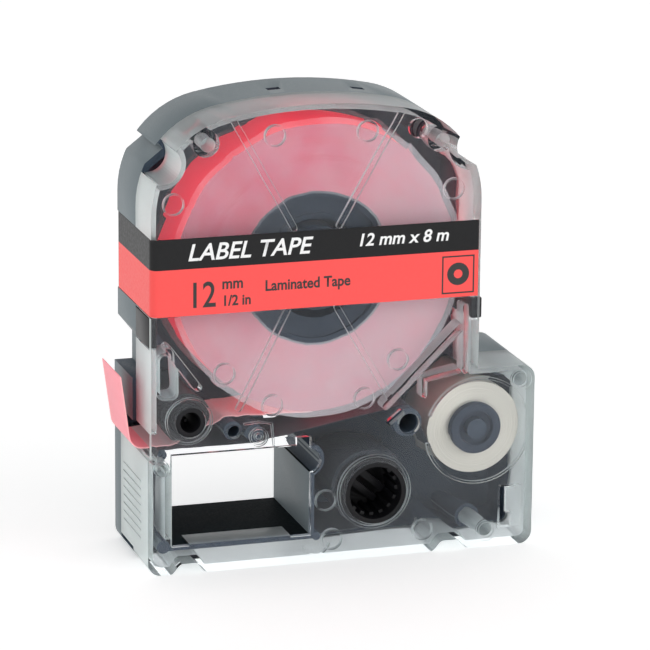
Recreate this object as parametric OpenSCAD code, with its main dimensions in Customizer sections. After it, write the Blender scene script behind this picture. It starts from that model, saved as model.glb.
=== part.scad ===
// Label tape cartridge: a clear front cover on a grey rear case, with a tape spool,
// a platen roller, an ink ribbon supply reel and a ribbon take-up reel inside.
// Outlines are drawn as x across and z up, measured from the tape roll's axis and the base.
// Depths run from 0 at the front face to `depth` at the back face.

/* [Case] */
// Thickness of the closed case, front to back
depth = 21.5; // [21:0.1:23]
// Depth at which the clear cover meets the rear case
split = 9.7; // [8:0.1:12]
// Height of the crown above the base
case_h = 77.2; // [76.5:0.1:80]
// Half the width of the round-shouldered upper body
half_w = 27.9; // [27.5:0.1:29]
// Radius of the two shoulders
corner_r = 16; // [12:0.5:18]
// Radius of the shallow arc along the top
crown_r = 76; // [60:1:100]
// Right edge of the foot, from the roll's axis
foot_right = 36.6; // [36:0.1:40]
// Height of the foot's right shoulder
foot_h = 31.1; // [30.5:0.1:33]
// Thickness of the cover's plate and of the case's side walls
wall = 1.2; // [1:0.1:1.4]
// Thickness of the rear case's back plate
back_t = 1.5; // [1.2:0.1:1.8]

/* [Tape] */
// Width of the label tape
tape_w = 12; // [9:0.5:12.5]
// Thickness of the label tape with its liner
tape_t = 0.16; // [0.12:0.01:0.2]
// Outer radius of the full tape roll
roll_r = 24; // [20:0.5:24.5]
// Outer radius of the core that the tape is wound on
core_r = 13; // [12:0.5:14]
// Height of the roll's axis above the base
roll_z = 48.9; // [48.5:0.1:49.5]

/* [Ribbon] */
// Width of the ink ribbon
ribbon_w = 14; // [12:0.5:14.5]
// Thickness drawn for the ink ribbon
ribbon_t = 0.08; // [0.05:0.01:0.1]
// Outer radius of the unused ribbon on its supply core
supply_r = 7.9; // [6:0.1:8.2]
// Outer radius of the used ribbon on the take-up core
takeup_r = 6.6; // [6.2:0.1:7.2]

/* [Platen] */
// Radius of the platen roller's rubber sleeve
platen_r = 4.2; // [3.9:0.1:4.3]

/* [Label] */
// Height of the printed sticker on the front
label_h = 13; // [10:0.5:14]
// Height of the sticker's lower edge above the base
label_z = 43.5; // [43:0.1:45]

/* [Hidden] */
$fn = 72;

// Colours
shell_grey = [0.42, 0.46, 0.46];
clear = [0.85, 0.88, 0.93, 0.35];
slate = [0.24, 0.29, 0.35];
tape_red = [1, 0.35, 0.4];
film_beige = [0.78, 0.77, 0.72];
jet = [0.05, 0.05, 0.06];

// Axes of everything that turns, as [x, z]
roll_at = [0, roll_z];
platen_at = [-22.57, 25.6];
supply_at = [27.2, 20.1];
takeup_at = [9.17, 10.95];

// Guides that the tape and the ribbon run over, as [x, z]
tape_post_at = [-15.24, 23.46];
ribbon_post_at = [14.75, 22.5];
ribbon_pin_at = [-10.76, 22];
turn_top_at = [-26.6, 19.6];
turn_foot_at = [-26.95, 4.5];
foot_guide_at = [-0.8, 4.1];

// Upper body
body_x = -1.3;
crown_z = case_h - crown_r;
shoulder_x = half_w - corner_r;
shoulder_z = crown_z + sqrt(pow(crown_r - corner_r, 2) - pow(shoulder_x, 2));
body_left = body_x - half_w;
body_right = body_x + half_w;
hip_z = 38.9;

// Foot
foot_left = -29.8;
foot_r = 2.2;

// Print head opening
win_x0 = -25.8;
win_x1 = -2.1;
win_z0 = 4.65;
win_z1 = 20.3;
win_wall = 0.9;

// Slot that the tape leaves by
exit_z0 = 19.8;
exit_z1 = 23.9;
grip_y = 17.5;

// Depths of the rolls
mid_y = depth / 2;
tape_y = mid_y - tape_w / 2;
ribbon_y = mid_y - ribbon_w / 2;
floor_y = depth - back_t;

// Fits
run = 0.06;
hub_r = 5;
hub_bore_r = 3.6;
supply_post_r = 1.7;
supply_core_r = 4.35;
takeup_core_r = 5.9;
ribbon_post_r = 2.5;
ribbon_post_bore_r = 1.78;
ribbon_pin_r = 1.5;
tape_post_r = 1.6;
tape_post_bore_r = 1.1;
turn_top_r = 0.8;
turn_foot_r = 1.1;
foot_guide_r = 0.7;
platen_journal_r = 2.54;
takeup_journal_r = 5.3;
platen_bore_r = 1.9;
takeup_bore_r = 4.7;
drive_y = 15.5;
drive_step = 0.2;

// Free end of the tape
tail_tip = [-33.05, 32.8];
tail_exit = [-28.3, 20.55];
tail_curl = [-29.35, 22.85, 2.3, 1];

// The part stands centred on its own box
mid_x = (foot_right + tail_tip[0]) / 2;

// ---------------------------------------------------------------- helpers

// A slab of a 2D outline between two depths
module slab(a, b)
    translate([-mid_x, b - depth / 2, 0]) rotate([90, 0, 0]) linear_extrude(b - a) children();

// An outline of x across and depth along, drawn up between two heights
module upright(z0, z1) translate([-mid_x, -depth / 2, z0]) linear_extrude(z1 - z0) children();

module disc(at, r) translate(at) circle(r);

module ring(at, r_out, r_in)
    difference() {
        disc(at, r_out);
        disc(at, r_in);
    }

// Points along an arc from angle a0 to a1 in n steps
function arc_points(c, r, a0, a1, n) =
    [for (i = [0 : n]) let (a = a0 + (a1 - a0) * i / n) c + r * [cos(a), sin(a)]];

// A rectangle with round corners
module panel(x0, z0, x1, z1, r)
    polygon(concat(
        arc_points([x0 + r, z0 + r], r, 180, 270, 6), arc_points([x1 - r, z0 + r], r, 270, 360, 6),
        arc_points([x1 - r, z1 - r], r, 0, 90, 6), arc_points([x0 + r, z1 - r], r, 90, 180, 6)
    ));

// A straight bar with round ends
module bar(a, b, w) {
    t = atan2(b.y - a.y, b.x - a.x);
    polygon(concat(arc_points(a, w / 2, t + 90, t + 270, 8), arc_points(b, w / 2, t - 90, t + 90, 8)));
}

// A sector of a ring between two angles less than 180 degrees apart
module arc(at, r_out, r_in, a0, a1)
    intersection() {
        ring(at, r_out, r_in);
        polygon(concat([at], arc_points(at, 3 * r_out, a0, a1, 2)));
    }

// ---------------------------------------------------------------- belts

// A belt is a list of circles [x, z, radius, side]. Side 1 has the circle on the right of
// the belt's travel and -1 on its left. A plain point is a circle of radius 0.
function heading(a, b) =
    let (d = [b[0] - a[0], b[1] - a[1]])
    atan2(d.y, d.x) - asin((a[3] * a[2] - b[3] * b[2]) / norm(d));

// The point on circle c where the belt's heading is h, shifted sideways by t
function on_belt(c, h, t) =
    [c[0] - (c[3] * c[2] + t) * sin(h), c[1] + (c[3] * c[2] + t) * cos(h)];

// How far the heading turns on circle c between two headings
function turn(c, h0, h1) = c[2] == 0 ? 0 : c[3] > 0 ? -((h0 - h1 + 720) % 360) : (h1 - h0 + 720) % 360;

// One edge of the belt, shifted sideways by t
function belt_edge(cs, t) = [
    for (i = [0 : len(cs) - 1])
        let (h0 = heading(cs[max(i - 1, 0)], cs[max(i, 1)]),
             h1 = heading(cs[min(i, len(cs) - 2)], cs[min(i + 1, len(cs) - 1)]),
             a = turn(cs[i], h0, h1),
             n = i == 0 || i == len(cs) - 1 || cs[i][2] == 0 ? 0 : ceil(abs(a) / 12))
        for (k = [0 : max(n, 0)]) on_belt(cs[i], h0 + (n == 0 ? 0 : a * k / n), t)
];

function flip(v) = [for (i = [len(v) - 1 : -1 : 0]) v[i]];

module belt(cs, t) polygon(concat(belt_edge(cs, t / 2), flip(belt_edge(cs, -t / 2))));

// ---------------------------------------------------------------- outlines

// The shoulders and the crown, from the right side over the top to the left, inset by g
function dome_points(g) =
    let (t = atan2(shoulder_z - crown_z, shoulder_x))
    concat(
        arc_points([body_x + shoulder_x, shoulder_z], corner_r - g, 0, t, 14),
        arc_points([body_x, crown_z], crown_r - g, t, 180 - t, 12),
        arc_points([body_x - shoulder_x, shoulder_z], corner_r - g, 180 - t, 180, 14)
    );

// The foot with the reel compartment, from its lower left corner to the body's right side, inset by g
function foot_points(g) =
    concat(
        arc_points([foot_left + foot_r, foot_r], foot_r - g, 180, 270, 6),
        arc_points([foot_right - foot_r, foot_r], foot_r - g, 270, 360, 6),
        arc_points([foot_right - foot_r, foot_h - foot_r], foot_r - g, 0, 90, 6),
        [[body_right - g, foot_h - g]]
    );

// Notch in the underside with soft shoulders, grown by g
module notch(x0, x1, h, g) {
    steps = 16;
    polygon(concat([[x1 + g, -1], [x0 - g, -1]], [
        for (i = [0 : steps])
            let (t = i / steps, s = min(1, min(t, 1 - t) / 0.32))
            [x0 - g + (x1 - x0 + 2 * g) * t, (h + g) * s * s * (3 - 2 * s)]
    ]));
}

module notches(g) {
    notch(-26, -19.9, 1.7, g);
    notch(18.9, 25.4, 1.7, g);
}

// Scoops in the shoulders of the cover, grown by g
module scoops(g) {
    disc([body_left + 1.8, 68.6], 3.2 + g);
    disc([body_right - 1.2, 68.8], 3.2 + g);
}

module cover_outline(g)
    difference() {
        polygon(concat(
            foot_points(g), dome_points(g),
            [[body_left + g, exit_z0 - g], [foot_left + g, exit_z0 - g]]
        ));
        scoops(g);
        notches(g);
    }

module rear_outline(g)
    difference() {
        polygon(concat(
            foot_points(g), dome_points(g),
            [
                [body_left + g, hip_z], [body_left + 2.4 + g, hip_z - 3],
                [body_left + 2.4 + g, foot_h - g], [foot_left + g, foot_h - g]
            ]
        ));
        translate([-26.6, 68.4]) rotate(-52) square([1.2 + 2 * g, 4 + 2 * g], center = true);
        notches(g);
    }

// Opening for the print head, grown by g
module head_opening(g) {
    translate([win_x0 - g, win_z0 - g]) square([win_x1 - win_x0 + 2 * g, win_z1 - win_z0 + g]);
    disc([-2.6, 17.4], 2.2 + g);
    translate([-4.6 - g, 19]) square([2.5 + 2 * g, 2.7]);
}

// ---------------------------------------------------------------- case

module rear_case() {
    color(shell_grey) {
        difference() {
            slab(floor_y, depth) rear_outline(0);
            slab(floor_y - 1, depth + 1) {
                head_opening(0);
                disc(platen_at, platen_journal_r + run);
                disc(takeup_at, takeup_journal_r + run);
                disc(ribbon_post_at, 2.2);
                disc(tape_post_at, 1.35);
            }
            label_recess();
            // Shallow round pan behind the roll and sockets that tell the tape's kind
            slab(depth - 0.3, depth + 1) disc(roll_at, 19);
            slab(depth - 0.8, depth + 1) for (i = [0 : 4]) disc([14.5 + 4.1 * i, 27.6], 1.2);
        }
        difference() {
            slab(split, floor_y) difference() {
                rear_outline(0);
                rear_outline(wall);
            }
            label_recess();
            // Tape slot, the cover's grip wall and the latches
            slab(split - 1, grip_y) {
                translate([foot_left - 1, exit_z0]) square([5, exit_z1 - exit_z0]);
                translate([foot_left - 1, 1.4]) square([1 + wall, exit_z0 - 1.4]);
            }
            for (x = [-6, 8.4]) slab(split + 3.4, split + 5) translate([x, case_h - 2]) square([2.2, 4]);
        }
        tunnel();
        posts();
    }
}

// Right and lower walls of the print head's tunnel
module tunnel() {
    slab(wall + 0.1, floor_y) difference() {
        head_opening(win_wall);
        head_opening(0);
        translate([win_x0 - 5, win_z0]) square([5, 30]);
        translate([win_x0 - 5, 19.8]) square([40, 10]);
    }
}

// Everything that stands on the rear case's floor
module posts() {
    slab(2.2, floor_y) ring(roll_at, hub_r, hub_bore_r);
    slab(wall + 0.1, depth) {
        ring(ribbon_post_at, ribbon_post_r, ribbon_post_bore_r);
        ring(tape_post_at, tape_post_r, tape_post_bore_r);
    }
    slab(wall + 0.1, floor_y) {
        disc(turn_foot_at, turn_foot_r);
        disc(foot_guide_at, foot_guide_r);
    }
    slab(ribbon_y - 0.05, floor_y) {
        disc(ribbon_pin_at, ribbon_pin_r);
        disc(turn_top_at, turn_top_r);
    }
    slab(2, floor_y) disc(supply_at, supply_post_r);
    slab(split, floor_y) {
        for (p = cover_pins) ring(p, pin_socket_r, 1.05);
        arc(roll_at, 26.8, 26, -59, -36);
        bar([-21.3, 31.4], [-25.6, 37.2], 1.2);
    }
}

// Pins on the cover that press into sockets in the rear case, the two wide ones at the top
wide_pins = [[-19.8, 71.5], [19.7, 70.1]];
slim_pins = [[34.2, 28.6], [28.6, 2.9]];
cover_pins = concat(wide_pins, slim_pins);
pin_socket_r = 1.9;

module front_cover() {
    color(clear) {
        difference() {
            slab(0, wall) cover_outline(0);
            slab(-1, wall + 1) {
                head_opening(0);
                disc(platen_at, platen_journal_r + run);
                disc(takeup_at, takeup_journal_r + run);
                disc(ribbon_post_at, ribbon_post_bore_r);
                bar([11.3, 22.9], [13.4, 24.6], 0.9);
                disc(tape_post_at, tape_post_bore_r);
                disc([15.6, 72.2], 1.6);
                disc([-27.2, 17.9], 1.2);
                translate([30.9, 3.1]) square([3.7, 7.2]);
            }
            slab(-1, 0.3) for (p = slim_pins) ring(p, pin_socket_r, 1.3);
            slab(-1, wall + 1) for (p = wide_pins) disc(p, 1.2);
            label_recess();
        }
        difference() {
            slab(wall, split) difference() {
                cover_outline(0);
                cover_outline(wall - 0.1);
            }
            label_recess();
            slab(wall, split + 1) {
                translate([foot_left - 1, exit_z0]) square([5, exit_z1 - exit_z0]);
                translate([body_left - 1, 38]) square([3.2, 5.4]);
                translate([body_right - 2, 39.2]) square([3.2, 3.9]);
            }
        }
        grip_wall();
        cover_ribs();
        cover_bosses();
        snap_tab();
    }
}

// Side of the foot that the thumb holds, with fine ridges
module grip_wall() {
    slab(split, grip_y) translate([foot_left, 2.2]) square([wall - 0.1, exit_z0 - 2.2]);
    for (i = [0 : 7]) slab(4.5, grip_y - 2) translate([foot_left - 0.15, 5 + 1.4 * i]) square([0.15, 0.35]);
    slab(wall, 9) translate([win_x0 - win_wall, 5.8]) square([win_wall, 11.8]);
}

module cover_ribs() {
    slab(wall, wall + 0.7) {
        bar([-15.2, 75], [-4.95, 56.7], 1);
        bar([13.1, 75], [2.7, 56.7], 1);
        bar([-6, 43], [-14.2, 27.1], 1);
        bar([2.4, 43], [11.6, 27.1], 1);
    }
    // Bars beside the roll
    slab(wall, 4) {
        bar([-21.1, 31.2], [-25.9, 37.7], 1.3);
        bar([11, 25.6], [23.7, 38], 1.3);
        bar([24.6, 30.6], [24.6, 41.5], 1);
        bar([17.6, 29.6], [23.4, 30.6], 0.9);
        bar([17.6, 26.9], [17.6, 29.6], 0.9);
    }
    // Pocket above the platen
    slab(wall, 5.5) difference() {
        panel(-28, 29.4, -24.4, 37.4, 1.2);
        panel(-27.5, 29.9, -24.9, 36.9, 0.9);
    }
    slab(wall, wall + 0.6) {
        ring(platen_at, 4, 3.7);
        ring(takeup_at, 6.4, 6);
        arc(supply_at, 9.2, 8.8, 20, 160);
        arc(supply_at, 9.2, 8.8, 190, 340);
        for (p = [[-8.3, 72.1], [-25.2, 61.8], [7.3, 72], [22.2, 61.6], [-16.6, 33.1], [-8.5, 27.2],
                  [7.3, 27.2], [13, 33.3], [0.75, 10.1], [1.9, 3.3], [17.7, 3.6]]) ring(p, 1.8, 1.6);
        // Pocket outlines round the ribbon's guides
        ring(ribbon_pin_at, 1.6, 1.3);
        ring(ribbon_pin_at, 0.8, 0.5);
        arc([-26.3, 3.6], 3, 2.7, 180, 340);
        arc([-0.8, 3.2], 2.4, 2.1, 200, 350);
        bar([-13.2, 24.4], [-10.7, 24.6], 0.3);
        bar([-10.7, 24.6], [-8.6, 24.1], 0.3);
        bar([-8.6, 24.1], [-8.2, 20.4], 0.3);
    }
    // Ledge along the foot of the print head's opening
    slab(0, 5) translate([-22.8, win_z0]) square([17.2, 0.35]);
}

module cover_bosses() {
    slab(0, wall + 2.4) ring([-27.2, 17.9], 1.35, 1.05);
    slab(wall, 5) for (p = wide_pins) ring(p, 2.25, 1.2);
    slab(5, split) for (p = wide_pins) disc(p, 2.25);
    slab(wall, split) for (p = slim_pins) disc(p, 1.25);
    slab(split, split + 3) for (p = cover_pins) disc(p, 1);
    slab(wall, 3.8) ring(roll_at, hub_bore_r - run, 2.8);
}

// Small tab in the lower right window
module snap_tab() {
    slab(0.3, wall) {
        translate([32.1, 5.6]) square([2.8, 4.3]);
        translate([33.1, 2.9]) square([1.8, 2.7]);
    }
}

// The bed that the sticker lies in, with a round corner between the front and the left side
label_bed = 0.15;
label_corner_r = 1.2;
label_corner = [body_left + label_bed + label_corner_r, label_bed + label_corner_r];

module label_recess()
    upright(label_z, label_z + label_h) difference() {
        translate([body_left - 1, -1]) square([body_right - body_left + 0.8, depth + 2]);
        polygon(concat(
            arc_points(label_corner, label_corner_r, 180, 270, 6),
            [[body_right + 5, label_bed], [body_right + 5, depth + 5], [body_left + label_bed, depth + 5]]
        ));
    }

module latch_left()
    color(jet) slab(wall + 0.1, split - 0.1) translate([body_left - 0.1, 38.2]) square([1.4, 5]);

module latch_right()
    color(jet) slab(wall + 0.1, split - 0.1) translate([body_right - 1, 39.4]) square([1.9, 3.5]);

// Sticker across the front, round the left edge and along the side
module product_label() {
    film = 0.12;
    right = body_right - 0.35;
    back = depth - 0.6;
    color([0.2, 0.2, 0.2]) upright(label_z + 0.1, label_z + label_h - 0.1) polygon(concat(
        [[body_left + label_bed - film, back]],
        arc_points(label_corner, label_corner_r + film, 180, 270, 6),
        [[right, label_bed - film], [right, label_bed]],
        arc_points(label_corner, label_corner_r, 270, 180, 6),
        [[body_left + label_bed, back]]
    ));
}

// ---------------------------------------------------------------- tape

module tape_core() {
    a = tape_y;
    b = tape_y + tape_w;
    color(slate) {
        slab(a, b) ring(roll_at, core_r, core_r - 1.2);
        slab(a + 0.5, a + 1.6) ring(roll_at, core_r - 0.6, 9.3);
        slab(a, b) ring(roll_at, 9.3, 8.4);
        slab(mid_y, mid_y + 1.2) ring(roll_at, 8.6, 6.8);
        slab(a + 0.2, mid_y) ring(roll_at, 7.2, 6.3);
        slab(mid_y, b) ring(roll_at, 7.2, hub_r + run);
        slab(a + 1.6, b) for (i = [0 : 5]) translate(roll_at) rotate(60 * i + 20)
            translate([9, -0.4]) square([core_r - 10, 0.8]);
    }
}

module tape_roll() color(tape_red) slab(tape_y, tape_y + tape_w) ring(roll_at, roll_r, core_r);

module slip_sheet(a) slab(a, a + 0.1) ring(roll_at, roll_r + 1, core_r - 0.4);

module slip_sheet_front() color(clear) slip_sheet(tape_y - 0.12);

module slip_sheet_rear() color(clear) slip_sheet(tape_y + tape_w + 0.02);

// Clutch spring that stops the core from turning back
module core_spring() {
    pitch = 0.85;
    color("silver") {
        for (i = [0 : 5]) slab(tape_y + 0.4 + pitch * i, tape_y + 1 + pitch * i) ring(roll_at, 5.9, 5.2);
        slab(tape_y + 0.4, tape_y + 5.2) ring(roll_at, 5.4, 5.2);
    }
}

tape_belt = [
    [roll_at.x, roll_at.y, roll_r + tape_t / 2, 1],
    [tape_post_at.x, tape_post_at.y, tape_post_r + tape_t, -1],
    [platen_at.x, platen_at.y, platen_r + tape_t / 2 + 0.02, 1],
    [tail_exit.x, tail_exit.y, 0, 1]
];
tail_belt = [[tail_exit.x, tail_exit.y, 0, 1], tail_curl, [tail_tip.x, tail_tip.y, 0, 1]];

module tape_run() color(tape_red) slab(tape_y, tape_y + tape_w) belt(tape_belt, tape_t);

module tape_tail() color(tape_red) slab(tape_y, tape_y + tape_w) belt(tail_belt, tape_t);

// ---------------------------------------------------------------- platen

// Keys that stand on the wall of a bore, all round, and reach in by h
module keys(at, n, r, h, w)
    for (i = [0 : n - 1]) translate(at) rotate(360 / n * i) translate([r - h, -w / 2]) square([h + 0.3, w]);

module platen_hub() {
    color(jet) difference() {
        union() {
            slab(0.3, depth - 0.3) disc(platen_at, platen_journal_r);
            slab(wall + 0.8, floor_y - 0.5) disc(platen_at, 3.1);
        }
        slab(drive_y, depth + 1) disc(platen_at, platen_bore_r);
        slab(-1, drive_y + 1) disc(platen_at, platen_bore_r - drive_step);
    }
    color(jet) slab(6, drive_y) keys(platen_at, 6, platen_bore_r - drive_step, 0.4, 0.6);
}

module platen_rubber()
    color([0.12, 0.12, 0.12]) slab(ribbon_y, ribbon_y + ribbon_w) ring(platen_at, platen_r, 3.1);

// ---------------------------------------------------------------- ribbon

module supply_core() {
    color(slate) {
        slab(2.4, floor_y - 0.6) ring(supply_at, supply_core_r, 2.9);
        slab(3.3, floor_y - 0.6) ring(supply_at, 3, supply_post_r + run);
    }
}

module supply_roll()
    color(film_beige) slab(ribbon_y, ribbon_y + ribbon_w) ring(supply_at, supply_r, supply_core_r);

feed_end = [-18.5, 20.45];
feed_belt = [
    [supply_at.x, supply_at.y, supply_r + ribbon_t / 2, 1],
    [ribbon_post_at.x, ribbon_post_at.y, ribbon_post_r + ribbon_t, -1],
    [ribbon_pin_at.x, ribbon_pin_at.y, ribbon_pin_r + ribbon_t, 1],
    [feed_end.x, feed_end.y, 0, 1]
];
return_belt = [
    [feed_end.x, feed_end.y, 0, 1],
    [turn_top_at.x, turn_top_at.y, turn_top_r + ribbon_t, -1],
    [turn_foot_at.x, turn_foot_at.y, turn_foot_r + ribbon_t, -1],
    [foot_guide_at.x, foot_guide_at.y, foot_guide_r + ribbon_t, -1],
    [takeup_at.x, takeup_at.y, takeup_r + ribbon_t / 2, -1]
];

module ribbon_feed_run()
    color([0.1, 0.1, 0.11]) slab(ribbon_y, ribbon_y + ribbon_w) belt(feed_belt, ribbon_t);

module ribbon_return_run()
    color([0.15, 0.15, 0.17]) slab(ribbon_y, ribbon_y + ribbon_w) belt(return_belt, ribbon_t);

module takeup_core() {
    key_r = takeup_bore_r - drive_step;
    color(jet) difference() {
        union() {
            slab(0.3, depth - 0.3) disc(takeup_at, takeup_journal_r);
            slab(wall + 0.8, floor_y - 0.5) disc(takeup_at, takeup_core_r);
        }
        slab(drive_y, depth + 1) disc(takeup_at, takeup_bore_r);
        slab(-1, drive_y + 1) disc(takeup_at, key_r);
    }
    color(jet) {
        slab(11, drive_y) keys(takeup_at, 16, key_r, 0.5, 0.7);
        // Web across the hub with two bars on its front, and finger grips round the rim
        slab(9, 10) disc(takeup_at, key_r + 0.1);
        slab(6.5, 9.1) for (s = [-1.1, 1.1]) translate(takeup_at) rotate(-40)
            translate([-3.4, s - 0.6]) square([6.8, 1.2]);
        slab(2.5, 9.1) keys(takeup_at, 16, key_r, 0.5, 0.7);
    }
}

module takeup_roll()
    color(film_beige) slab(ribbon_y, ribbon_y + ribbon_w) ring(takeup_at, takeup_r, takeup_core_r);

rear_case();
front_cover();
latch_left();
latch_right();
product_label();
tape_core();
tape_roll();
slip_sheet_front();
slip_sheet_rear();
core_spring();
tape_run();
tape_tail();
platen_hub();
platen_rubber();
supply_core();
supply_roll();
ribbon_feed_run();
ribbon_return_run();
takeup_core();
takeup_roll();
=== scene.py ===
import math

import bmesh
import bpy
from mathutils import Matrix, Vector
from mathutils.bvhtree import BVHTree


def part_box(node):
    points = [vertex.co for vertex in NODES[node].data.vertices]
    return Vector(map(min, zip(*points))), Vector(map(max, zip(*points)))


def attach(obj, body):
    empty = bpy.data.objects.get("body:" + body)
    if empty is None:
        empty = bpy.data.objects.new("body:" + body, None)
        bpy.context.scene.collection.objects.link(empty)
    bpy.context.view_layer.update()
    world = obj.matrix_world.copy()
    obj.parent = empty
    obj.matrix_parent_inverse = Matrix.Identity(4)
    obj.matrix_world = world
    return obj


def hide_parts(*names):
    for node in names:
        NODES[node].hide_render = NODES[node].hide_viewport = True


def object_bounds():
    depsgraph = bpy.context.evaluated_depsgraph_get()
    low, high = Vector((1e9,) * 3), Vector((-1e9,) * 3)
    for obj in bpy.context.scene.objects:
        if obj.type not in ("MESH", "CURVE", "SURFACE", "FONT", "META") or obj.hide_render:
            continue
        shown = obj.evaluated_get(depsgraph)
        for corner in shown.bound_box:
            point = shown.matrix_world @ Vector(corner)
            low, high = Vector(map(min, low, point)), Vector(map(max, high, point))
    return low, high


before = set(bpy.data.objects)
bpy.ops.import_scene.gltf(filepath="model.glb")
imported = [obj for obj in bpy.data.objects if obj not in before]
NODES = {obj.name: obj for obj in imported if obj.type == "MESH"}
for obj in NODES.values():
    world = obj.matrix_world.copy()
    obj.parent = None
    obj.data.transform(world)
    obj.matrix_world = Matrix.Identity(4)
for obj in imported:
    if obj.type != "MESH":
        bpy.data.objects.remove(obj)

CAD_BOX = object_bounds()
MM = 0.001

# ---------------------------------------------------------------- places, from the frame

lo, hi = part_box("tape_roll")
ROLL = (lo + hi) / 2                 # centre of the roll of tape
ROLL_R = (hi.x - lo.x) / 2
lo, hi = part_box("supply_roll")
SUPPLY = (lo + hi) / 2
LABEL_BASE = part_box("product_label")[0].z
FRONT = CAD_BOX[0].y                 # depth of the cover's front face

# ---------------------------------------------------------------- sizes, in metres

BAND_FROM = 7.75 * MM                # from the sticker's lower edge up to its black band
INK_SPREAD = 0.06 * MM               # how much bolder the words are than their font
INK_GAP = 0.015 * MM                 # from the front face back to the printed words
WEB_EDGE_HIGHLIGHT = (5.3 * MM, 6.0 * MM)      # painted highlight along the tape's two edges, measured from its middle
THIN_WALL = 2.7 * MM                 # walls and pins of the cover up to this look frosted
SOCKET_DEPTH = 4 * MM                # floors this far behind the front close off sockets
TUNNEL_X = (-27.8 * MM, -3.7 * MM)   # sides of the print head's opening
TUNNEL_Z = (4.5 * MM, 22 * MM)       # its base and top

CAMERA_TURNS = (17.465, 15.187, 0.5606)  # degrees round to the left, above and of roll
CAMERA_AIM_Z = 40.455 * MM           # height of the point in the middle of the view
CAMERA_DISTANCE = 636.84 * MM
CAMERA_LENS = 217.02                 # focal length in mm on a sensor 36 mm wide


# ---------------------------------------------------------------- materials

class Look:
    """A material being built: one Principled shader and the nodes that feed it."""

    def __init__(self, name, **sockets):
        self.mat = bpy.data.materials.new(name)
        self.mat.use_nodes = True
        self.tree = self.mat.node_tree
        self.tree.nodes.clear()
        self.out = self.add("ShaderNodeOutputMaterial")
        self.bsdf = self.add("ShaderNodeBsdfPrincipled")
        self.link(self.bsdf.outputs[0], self.out.inputs["Surface"])
        for key, value in sockets.items():
            self.bsdf.inputs[key.replace("_", " ")].default_value = value

    def add(self, kind, **settings):
        node = self.tree.nodes.new(kind)
        for key, value in settings.items():
            setattr(node, key, value)
        return node

    def link(self, source, target):
        self.tree.links.new(source, target)

    def to(self, socket, source):
        """Feeds one of the shader's sockets."""
        self.link(source, self.bsdf.inputs[socket])

    def place(self, origin=(0, 0, 0), scale=(1, 1, 1)):
        """Object coordinates in metres, measured from origin and then scaled."""
        coords = self.add("ShaderNodeTexCoord")
        moved = self.add("ShaderNodeVectorMath", operation="SUBTRACT")
        self.link(coords.outputs["Object"], moved.inputs[0])
        moved.inputs[1].default_value = origin
        scaled = self.add("ShaderNodeVectorMath", operation="MULTIPLY")
        self.link(moved.outputs[0], scaled.inputs[0])
        scaled.inputs[1].default_value = scale
        return scaled.outputs[0]

    def length(self, vector):
        node = self.add("ShaderNodeVectorMath", operation="LENGTH")
        self.link(vector, node.inputs[0])
        return node.outputs["Value"]

    def noise(self, grain_mm, detail=3.0, stretch=(1, 1, 1), rough=0.55):
        """Noise whose features are about grain_mm across."""
        node = self.add("ShaderNodeTexNoise")
        self.link(self.place(scale=stretch), node.inputs["Vector"])
        node.inputs["Scale"].default_value = 1 / (grain_mm * MM)
        node.inputs["Detail"].default_value = detail
        node.inputs["Roughness"].default_value = rough
        return node.outputs["Fac"]

    def rings(self, radius, pitch_mm, detail=4.0):
        """Noise that changes only with a radius, like the edges of wound film."""
        node = self.add("ShaderNodeTexNoise", noise_dimensions="1D")
        self.link(radius, node.inputs["W"])
        node.inputs["Scale"].default_value = 1 / (pitch_mm * MM)
        node.inputs["Detail"].default_value = detail
        return node.outputs["Fac"]

    def math(self, operation, a, b=0.0):
        node = self.add("ShaderNodeMath", operation=operation)
        for socket, value in zip(node.inputs, (a, b)):
            if isinstance(value, (int, float)):
                socket.default_value = value
            else:
                self.link(value, socket)
        return node.outputs[0]

    def span(self, value, low, high, to_low=0.0, to_high=1.0):
        """Maps low..high to to_low..to_high, held at both ends."""
        node = self.add("ShaderNodeMapRange", interpolation_type="SMOOTHSTEP")
        self.link(value, node.inputs["Value"])
        limits = (("From Min", low), ("From Max", high), ("To Min", to_low), ("To Max", to_high))
        for key, number in limits:
            node.inputs[key].default_value = number
        return node.outputs[0]

    def mix(self, share, a, b):
        """A colour between a and b."""
        node = self.add("ShaderNodeMix", data_type="RGBA")
        for index, value in ((0, share), (6, a), (7, b)):
            if isinstance(value, tuple):
                node.inputs[index].default_value = value + (1.0,) * (4 - len(value))
            elif isinstance(value, (int, float)):
                node.inputs[index].default_value = value
            else:
                self.link(value, node.inputs[index])
        return node.outputs[2]

    def bump(self, height, depth_mm, strength=1.0):
        node = self.add("ShaderNodeBump")
        node.inputs["Strength"].default_value = strength
        node.inputs["Distance"].default_value = depth_mm * MM
        self.link(height, node.inputs["Height"])
        self.to("Normal", node.outputs[0])

    def facing(self, axis):
        """How far the surface faces along an axis of the part: 1 along it, -1 against it."""
        geometry = self.add("ShaderNodeNewGeometry")
        node = self.add("ShaderNodeVectorMath", operation="DOT_PRODUCT")
        self.link(geometry.outputs["True Normal"], node.inputs[0])
        node.inputs[1].default_value = axis
        return node.outputs["Value"]


def moulded(name, colour, dark, grain_mm=0.12, rough=(0.38, 0.55), depth_mm=0.006, **sockets):
    """Moulded plastic with a fine spark-eroded grain and slow changes in tone."""
    look = Look(name, **sockets)
    tone = look.span(look.noise(9, 2.0), 0.35, 0.65)
    look.to("Base Color", look.mix(tone, colour, dark))
    grain = look.noise(grain_mm, 4.0)
    look.to("Roughness", look.span(grain, 0.3, 0.7, *rough))
    look.bump(grain, depth_mm, 0.6)
    return look.mat


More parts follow.
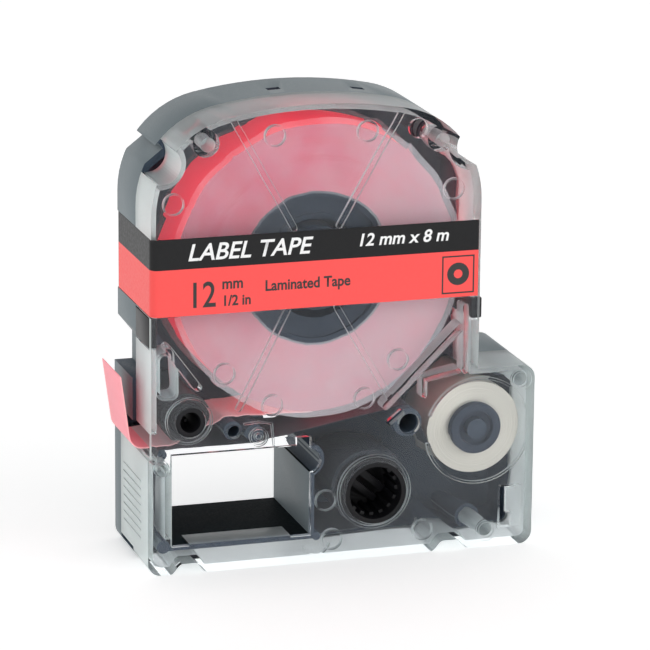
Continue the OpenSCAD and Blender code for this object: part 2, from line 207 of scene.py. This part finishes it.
def clear_plastic(name, tint, rough, haze_share, haze_colour):
    """Clear polystyrene with a trace of haze, which is strong where its walls are frosted and
    painted darker as shade on faces that look upward.
    """
    look = Look(name, Transmission_Weight=1.0, IOR=1.22, Specular_IOR_Level=0.3)
    flow = look.span(look.noise(16, 1.0, stretch=(1, 1, 0.6)), 0.35, 0.65)
    look.to("Base Color", look.mix(flow, tint, tuple(0.98 * c for c in tint)))
    look.to("Roughness", look.span(flow, 0, 1, rough, rough + 0.03))
    haze = look.add("ShaderNodeBsdfDiffuse")
    grain = look.noise(0.5, 3.0)
    tone = look.mix(grain, haze_colour, tuple(0.9 * c for c in haze_colour))
    # Painted shade: the haze is darker on faces that look upward.
    upper = look.span(look.facing((0, 0, 1)), 0.3, 0.9, 0, 0.55)
    look.link(look.mix(upper, tone, (0.1, 0.11, 0.13)), haze.inputs["Color"])
    body = look.add("ShaderNodeMixShader")
    look.link(look.span(flow, 0, 1, *haze_share), body.inputs[0])
    look.link(look.bsdf.outputs[0], body.inputs[1])
    look.link(haze.outputs[0], body.inputs[2])
    # Lamps reach what is behind it
    path = look.add("ShaderNodeLightPath")
    clear = look.add("ShaderNodeBsdfTransparent")
    clear.inputs["Color"].default_value = (0.92, 0.93, 0.95, 1)
    lit = look.add("ShaderNodeMixShader")
    look.link(path.outputs["Is Shadow Ray"], lit.inputs[0])
    look.link(body.outputs[0], lit.inputs[1])
    look.link(clear.outputs[0], lit.inputs[2])
    look.link(lit.outputs[0], look.out.inputs["Surface"])
    return look.mat


def slip_film(name):
    """Thin milky film that lies on the roll's faces."""
    look = Look(name, Roughness=0.18, Specular_IOR_Level=0.5)
    cloud = look.noise(6, 3.0)
    look.to("Base Color", look.mix(cloud, (0.8, 0.8, 0.84), (0.9, 0.88, 0.9)))
    # A painted haze of light makes the film cloudier towards the lower right of the roll.
    off = look.length(look.place(ROLL + Vector((-ROLL_R, 0, ROLL_R)), (1, 0, 1)))
    painted_haze = look.span(off, 0.8 * ROLL_R, 2.3 * ROLL_R, 0.03, 0.22)
    look.to("Alpha", look.math("ADD", painted_haze, look.span(cloud, 0.3, 0.7, 0, 0.05)))
    return look.mat


def wound_tape(name):
    """Red laminated tape: bright film round the outside with a painted red glow, milky layer edges
    on the two faces.
    """
    look = Look(name, Specular_IOR_Level=0.35, Emission_Strength=0.5)
    radius = look.length(look.place(ROLL, (1, 0, 1)))
    layers = look.rings(radius, 0.32, 6.0)
    bands = look.rings(radius, 2.6, 2.0)
    cloud = look.noise(7, 2.0)
    face = look.mix(look.span(layers, 0.35, 0.65), (0.72, 0.11, 0.17), (0.66, 0.09, 0.15))
    face = look.mix(look.span(bands, 0.35, 0.7, 0, 0.35), face, (0.68, 0.17, 0.24))
    face = look.mix(look.span(cloud, 0.3, 0.7, 0, 0.35), face, (0.64, 0.17, 0.26))
    sheen = look.span(look.noise(4, 2.0, stretch=(0.3, 1, 0.3)), 0.3, 0.7)
    rim = look.mix(sheen, (0.98, 0.06, 0.09), (0.93, 0.045, 0.07))
    on_face = look.span(look.math("ABSOLUTE", look.facing((0, 1, 0))), 0.4, 0.6)
    look.to("Base Color", look.mix(on_face, rim, face))
    # Painted glow: the rim gives off red light of its own, the faces none.
    look.to("Emission Color", look.mix(on_face, (1.0, 0.03, 0.07), (0.0, 0.0, 0.0)))
    look.to("Roughness", look.span(on_face, 0, 1, 0.28, 0.5))
    look.bump(layers, 0.02, 0.25)
    return look.mat


def tape_web(name, film, liner):
    """A single thickness of the tape: film under it, pale liner on top."""
    # Painted glow: the tape gives off a faint light in its film colour.
    look = Look(name, Roughness=0.32, Specular_IOR_Level=0.4,
                Emission_Color=film + (1,), Emission_Strength=0.14)
    fine = look.noise(1.4, 3.0, stretch=(1, 0.15, 1))
    upper = look.span(look.facing((0, 0, 1)), -0.1, 0.1)
    side = look.mix(upper, film, liner)
    red = look.mix(look.span(fine, 0.3, 0.7, 0, 0.3), side, (0.85, 0.3, 0.34))
    # Painted highlight: a pale band along both edges of the tape.
    across = look.length(look.place((0, ROLL.y, 0), (0, 1, 0)))
    edge = look.span(across, *WEB_EDGE_HIGHLIGHT)
    look.to("Base Color", look.mix(edge, red, (0.98, 0.6, 0.6)))
    through = look.add("ShaderNodeBsdfTranslucent")
    through.inputs["Color"].default_value = film + (1,)
    body = look.add("ShaderNodeMixShader")
    body.inputs[0].default_value = 0.35
    look.link(look.bsdf.outputs[0], body.inputs[1])
    look.link(through.outputs[0], body.inputs[2])
    look.link(body.outputs[0], look.out.inputs["Surface"])
    return look.mat


def wound_film(name, centre, pale, deep, metal):
    """Edges of a wound ribbon, with the turned sheen of film wound under tension."""
    look = Look(name, Metallic=metal, Anisotropic=0.75, Specular_IOR_Level=0.5)
    radius = look.length(look.place(centre, (1, 0, 1)))
    layers = look.rings(radius, 0.12, 5.0)
    look.to("Base Color", look.mix(look.span(layers, 0.3, 0.7), pale, deep))
    look.to("Roughness", look.span(layers, 0.3, 0.7, 0.3, 0.42))
    tangent = look.add("ShaderNodeTangent", direction_type="RADIAL", axis="Y")
    look.to("Tangent", tangent.outputs[0])
    look.bump(layers, 0.01, 0.2)
    return look.mat


def printed_label(name):
    """Sticker: a black band over a coral field, on slightly uneven satin film."""
    look = Look(name, Specular_IOR_Level=0.12)
    height = look.length(look.place((0, 0, LABEL_BASE), (0, 0, 1)))
    fibre = look.noise(0.5, 4.0)
    coral = look.mix(fibre, (0.97, 0.105, 0.1), (0.93, 0.095, 0.09))
    black = look.mix(fibre, (0.016, 0.016, 0.017), (0.021, 0.021, 0.022))
    band = look.math("GREATER_THAN", height, BAND_FROM)
    look.to("Base Color", look.mix(band, coral, black))
    look.to("Roughness", look.span(fibre, 0.3, 0.7, 0.3, 0.42))
    look.bump(look.noise(5, 2.0), 0.03, 0.3)
    return look.mat


def ink(name, colour):
    """Printing ink with fine specks."""
    look = Look(name, Specular_IOR_Level=0.4)
    speck = look.noise(0.25, 2.0)
    worn = tuple(0.9 * c for c in colour)
    look.to("Base Color", look.mix(look.span(speck, 0.3, 0.7), colour, worn))
    look.to("Roughness", look.span(speck, 0.3, 0.7, 0.35, 0.5))
    return look.mat


def drawn_wire(name):
    """Bare drawn steel."""
    look = Look(name, Metallic=1.0, Base_Color=(0.6, 0.6, 0.62, 1))
    look.to("Roughness", look.span(look.noise(0.3, 3.0), 0.3, 0.7, 0.22, 0.4))
    return look.mat


GREY = moulded("case_grey_outside", (0.136, 0.172, 0.188), (0.129, 0.163, 0.179),
               Specular_IOR_Level=0.4)
# Painted shade: the case's own grey plastic, darker and bluer on faces inside the case.
GREY_SHADED = moulded("case_grey_painted_shade", (0.05, 0.068, 0.092), (0.042, 0.058, 0.08),
                      grain_mm=0.3, rough=(0.45, 0.6), depth_mm=0.001, Specular_IOR_Level=0.12)
# Painted shade: the case's grey plastic, near black where shade fills the print head's opening.
TUNNEL_SHADE = moulded("tunnel_painted_shade", (0.004, 0.008, 0.01), (0.003, 0.006, 0.008), grain_mm=0.3,
                 rough=(0.55, 0.7), depth_mm=0.001, Specular_IOR_Level=0.03)
CLEAR = clear_plastic("cover_clear", (0.985, 0.99, 1.0), 0.012, (0.008, 0.02), (0.75, 0.82, 0.9))
FROSTED = clear_plastic("cover_frosted", (0.95, 0.975, 0.98), 0.3, (0.4, 0.55),
                        (0.86, 0.93, 0.92))
EDGE_HIGHLIGHT = clear_plastic("cover_edge_highlight", (0.98, 0.99, 1.0), 0.1, (0.65, 0.75), (1.0, 1.0, 1.0))
BLACK = moulded("moulded_black", (0.008, 0.008, 0.01), (0.005, 0.005, 0.006), rough=(0.3, 0.45),
                Specular_IOR_Level=0.22)
SLATE = moulded("core_slate", (0.035, 0.048, 0.07), (0.028, 0.04, 0.06), grain_mm=0.25,
                rough=(0.4, 0.5), depth_mm=0.001, Specular_IOR_Level=0.2)
RUBBER = moulded("platen_rubber", (0.03, 0.03, 0.031), (0.022, 0.022, 0.023), grain_mm=0.06,
                 rough=(0.7, 0.9))
RED_ROLL = wound_tape("wound_tape")
RED_WEB = tape_web("tape_web", (0.8, 0.56, 0.58), (0.74, 0.7, 0.7))
RED_TAIL = tape_web("tape_tail", (0.99, 0.42, 0.48), (0.99, 0.42, 0.48))
FILM = slip_film("slip_film")
SILVER_ROLL = wound_film("ribbon_edges", SUPPLY, (0.72, 0.7, 0.62), (0.56, 0.54, 0.47), 0.35)
INKED = moulded("inked_ribbon", (0.045, 0.053, 0.064), (0.038, 0.045, 0.055), grain_mm=0.5,
                rough=(0.3, 0.4), depth_mm=0.001, Specular_IOR_Level=0.2)
LABEL = printed_label("label_print")
WIRE = drawn_wire("spring_steel")
WHITE_INK = ink("white_ink", (0.88, 0.88, 0.88))
BLACK_INK = ink("black_ink", (0.03, 0.03, 0.03))


def paint(node, material):
    """Gives a CAD node one material."""
    mesh = NODES[node].data
    mesh.materials.clear()
    mesh.materials.append(material)


# ---------------------------------------------------------------- pieces from CAD nodes

def rounded(node, radius_mm, materials, body):
    """A copy of a CAD node with its sharp edges rounded, which stands for that node."""
    mesh = NODES[node].data.copy()
    bm = bmesh.new()
    bm.from_mesh(mesh)
    bmesh.ops.remove_doubles(bm, verts=bm.verts, dist=0.0005 * MM)
    bmesh.ops.dissolve_limit(bm, angle_limit=math.radians(0.5), verts=bm.verts, edges=bm.edges)
    bm.to_mesh(mesh)
    bm.free()
    mesh.materials.clear()
    for material in materials:
        mesh.materials.append(material)
    piece = bpy.data.objects.new(node + "_rounded", mesh)
    bpy.context.scene.collection.objects.link(piece)
    bevel = piece.modifiers.new("edges", "BEVEL")
    bevel.width = radius_mm * MM
    bevel.segments = 2
    bevel.limit_method = "ANGLE"
    bevel.angle_limit = math.radians(32)
    bevel.use_clamp_overlap = True
    bpy.context.view_layer.objects.active = piece
    piece.select_set(True)
    bpy.ops.object.modifier_apply(modifier=bevel.name)
    piece.select_set(False)
    mesh = piece.data
    for polygon in mesh.polygons:
        polygon.use_smooth = abs(polygon.normal.y) < 0.98
    mesh.set_sharp_from_angle(angle=math.radians(28))
    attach(piece, body)
    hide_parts(node)
    return piece


def surface_tree(mesh):
    return BVHTree.FromPolygons([v.co for v in mesh.vertices], [p.vertices for p in mesh.polygons])


def mark_painted_shade(piece, index):
    """Gives material index, for painted shade, to faces that look forward or onto another part of
    the piece.
    """
    mesh = piece.data
    tree = surface_tree(mesh)
    for polygon in mesh.polygons:
        normal = polygon.normal
        hit = tree.ray_cast(polygon.center + normal * 0.02 * MM, normal)
        if hit[0] is not None or normal.y < -0.7:
            polygon.material_index = index


def mark_walls(piece, frosted, edge):
    """Thin walls, pins and socket floors are frosted, and rounded edges carry a painted highlight.
    """
    mesh = piece.data
    tree = surface_tree(mesh)
    for polygon in mesh.polygons:
        normal = polygon.normal
        # Chamfer faces get the painted highlight.
        if 0.3 < abs(normal.y) < 0.95:
            polygon.material_index = edge
        elif normal.y < -0.9 and polygon.center.y > FRONT + SOCKET_DEPTH:
            polygon.material_index = frosted
        elif abs(normal.y) <= 0.3:
            hit = tree.ray_cast(polygon.center - normal * 0.01 * MM, -normal, THIN_WALL)
            if hit[0] is not None:
                polygon.material_index = frosted


def mark_tunnel(piece, side, base):
    """Gives one material to the side of the print head's opening and another, painted shade, to its
    base.
    """
    (x0, x1), (z0, z1) = TUNNEL_X, TUNNEL_Z
    for polygon in piece.data.polygons:
        at = polygon.center
        if abs(polygon.normal.y) < 0.5 and x0 < at.x < x1 and z0 < at.z < z1:
            polygon.material_index = base if polygon.normal.z > 0.5 else side


case = rounded("rear_case", 0.22, [GREY, GREY_SHADED, TUNNEL_SHADE], "case")
mark_painted_shade(case, 1)
mark_tunnel(case, 0, 2)
cover = rounded("front_cover", 0.12, [CLEAR, FROSTED, EDGE_HIGHLIGHT], "case")
mark_walls(cover, 1, 2)

# Painted shade: the latches are coloured black as a stand-in for shade.
for name in ("latch_left", "latch_right"):
    rounded(name, 0.25, [BLACK], "case")
paint("tape_run", RED_WEB)
paint("tape_tail", RED_TAIL)
for name in ("ribbon_feed_run", "ribbon_return_run", "takeup_roll"):
    paint(name, INKED)
for name in ("slip_sheet_front", "slip_sheet_rear"):
    paint(name, FILM)
paint("product_label", LABEL)
paint("core_spring", WIRE)
paint("tape_roll", RED_ROLL)
paint("supply_roll", SILVER_ROLL)
paint("platen_rubber", RUBBER)
rounded("tape_core", 0.15, [SLATE], "tape_spool")
rounded("supply_core", 0.2, [SLATE], "ribbon_supply")
rounded("takeup_core", 0.15, [BLACK], "ribbon_takeup")
rounded("platen_hub", 0.15, [BLACK], "platen")


# ---------------------------------------------------------------- label print

def printed(name, text, at_mm, size_mm, ink_look, lean=0.0, width=1.0):
    """Words laid on the sticker's front, from their lower left corner at x and z in mm."""
    curve = bpy.data.curves.new(name, "FONT")
    curve.body = text
    curve.size = size_mm * MM
    curve.shear = lean
    curve.offset = INK_SPREAD
    curve.resolution_u = 4
    words = bpy.data.objects.new(name, curve)
    mesh = bpy.data.meshes.new_from_object(words)
    mesh.transform(Matrix.Diagonal((width, 1, 1, 1)))
    add_print(name, mesh, at_mm, ink_look)


def add_print(name, mesh, at_mm, ink_look):
    """Stands a flat mesh drawn in x and y upright just in front of the sticker."""
    x, z = (v * MM for v in at_mm)
    place = Matrix.Translation((x, FRONT + INK_GAP, z)) @ Matrix.Rotation(math.pi / 2, 4, "X")
    mesh.transform(place)
    mesh.materials.clear()
    mesh.materials.append(ink_look)
    piece = bpy.data.objects.new(name, mesh)
    bpy.context.scene.collection.objects.link(piece)
    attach(piece, "case")


def frame_mesh(name, width_mm, height_mm, line_mm):
    """A rectangle's outline as one flat mesh, drawn from its lower left corner."""
    w, h, t = width_mm * MM, height_mm * MM, line_mm * MM
    outer = [(0, 0, 0), (w, 0, 0), (w, h, 0), (0, h, 0)]
    inner = [(t, t, 0), (w - t, t, 0), (w - t, h - t, 0), (t, h - t, 0)]
    sides = [(i, (i + 1) % 4, 4 + (i + 1) % 4, 4 + i) for i in range(4)]
    mesh = bpy.data.meshes.new(name)
    mesh.from_pydata(outer + inner, [], sides)
    return mesh


def disc_mesh(name, radius_mm, hole_mm, steps=40):
    """A flat ring centred on its own origin."""
    mesh = bpy.data.meshes.new(name)
    turns = [2 * math.pi * i / steps for i in range(steps)]
    points = [(r * MM * math.cos(a), r * MM * math.sin(a), 0)
              for r in (radius_mm, hole_mm) for a in turns]
    rim = [(i, (i + 1) % steps, steps + (i + 1) % steps, steps + i) for i in range(steps)]
    mesh.from_pydata(points, [], rim)
    return mesh


# Name, words, lower left corner and letter height in mm, ink, lean and width
LABEL_WORDS = (
    ("print_name", "LABEL TAPE", (-25.0, 52.7), 3.9, WHITE_INK, 0.25, 1.0),
    ("print_length", "12 mm x 8 m", (3.5, 53.3), 2.9, WHITE_INK, 0.2, 1.0),
    ("print_width", "12", (-24.9, 44.9), 6.0, BLACK_INK, 0.0, 0.8),
    ("print_unit", "mm", (-19.2, 47.7), 2.6, BLACK_INK, 0.0, 0.9),
    ("print_inches", "1/2 in", (-19.2, 44.9), 2.4, BLACK_INK, 0.0, 0.9),
    ("print_kind", "Laminated Tape", (-12.0, 46.9), 2.5, BLACK_INK, 0.0, 0.9),
)
for words in LABEL_WORDS:
    printed(*words)
add_print("print_box", frame_mesh("print_box", 5.6, 6.4, 0.25), (18.2, 44.2), BLACK_INK)
add_print("print_reel", disc_mesh("print_reel", 1.9, 0.75), (21.0, 47.5), BLACK_INK)

# ---------------------------------------------------------------- stage

def studio():
    """A white tent, dimmer overhead, round a pale floor."""
    world = bpy.data.worlds.new("studio")
    bpy.context.scene.world = world
    world.use_nodes = True
    tree = world.node_tree
    sky = tree.nodes["Background"]
    sky.inputs["Color"].default_value = (1, 1, 1, 1)
    coords = tree.nodes.new("ShaderNodeTexCoord")
    axes = tree.nodes.new("ShaderNodeSeparateXYZ")
    fade = tree.nodes.new("ShaderNodeMapRange")
    tree.links.new(coords.outputs["Generated"], axes.inputs[0])
    tree.links.new(axes.outputs["Z"], fade.inputs["Value"])
    for key, number in (("From Min", 0.2), ("From Max", 0.9), ("To Min", 1.1), ("To Max", 0.5)):
        fade.inputs[key].default_value = number
    tree.links.new(fade.outputs[0], sky.inputs["Strength"])
    bpy.context.scene.view_settings.view_transform = "Standard"
    bpy.ops.mesh.primitive_plane_add(size=6, location=(0, 0, 0))
    floor = bpy.context.object
    floor.name = "floor"
    look = Look("floor", Roughness=0.9, Specular_IOR_Level=0.1,
                Emission_Color=(1, 1, 1, 1), Emission_Strength=0.34)
    look.to("Base Color", look.mix(look.noise(400, 1.0), (0.93, 0.93, 0.93), (0.95, 0.95, 0.95)))
    floor.data.materials.append(look.mat)


def softbox(name, place, aim, size, power):
    """A rectangular area lamp at place that looks at aim."""
    data = bpy.data.lights.new(name, "AREA")
    data.shape = "RECTANGLE"
    data.size, data.size_y = size
    data.energy = power
    lamp = bpy.data.objects.new(name, data)
    bpy.context.scene.collection.objects.link(lamp)
    lamp.location = place
    lamp.rotation_euler = (Vector(aim) - Vector(place)).to_track_quat("-Z", "Y").to_euler()


def photo_camera():
    """Camera at the picture's own place: seen from the left and a little above."""
    turn, tip, roll = (math.radians(a) for a in CAMERA_TURNS)
    target = Vector((ROLL.x, FRONT, CAMERA_AIM_Z))
    back = Vector((-math.sin(turn) * math.cos(tip), -math.cos(turn) * math.cos(tip), math.sin(tip)))
    right = (-back).cross(Vector((0, 0, 1))).normalized()
    up = right.cross(-back)
    c, s = math.cos(roll), math.sin(roll)
    right, up = c * right + s * up, c * up - s * right
    data = bpy.data.cameras.new("camera")
    data.sensor_width = 36
    data.lens = CAMERA_LENS
    data.clip_start = 0.01
    camera = bpy.data.objects.new("camera", data)
    bpy.context.scene.collection.objects.link(camera)
    axes = Matrix((right, up, back)).transposed().to_4x4()
    camera.matrix_world = Matrix.Translation(target + CAMERA_DISTANCE * back) @ axes
    bpy.context.scene.camera = camera


studio()
softbox("key", (-0.4, -0.6, 0.4), (0, 0, 0.04), (0.5, 0.5), 0.15)
softbox("fill", (0.6, -0.45, 0.2), (0, 0, 0.03), (0.4, 0.6), 1.5)
photo_camera()
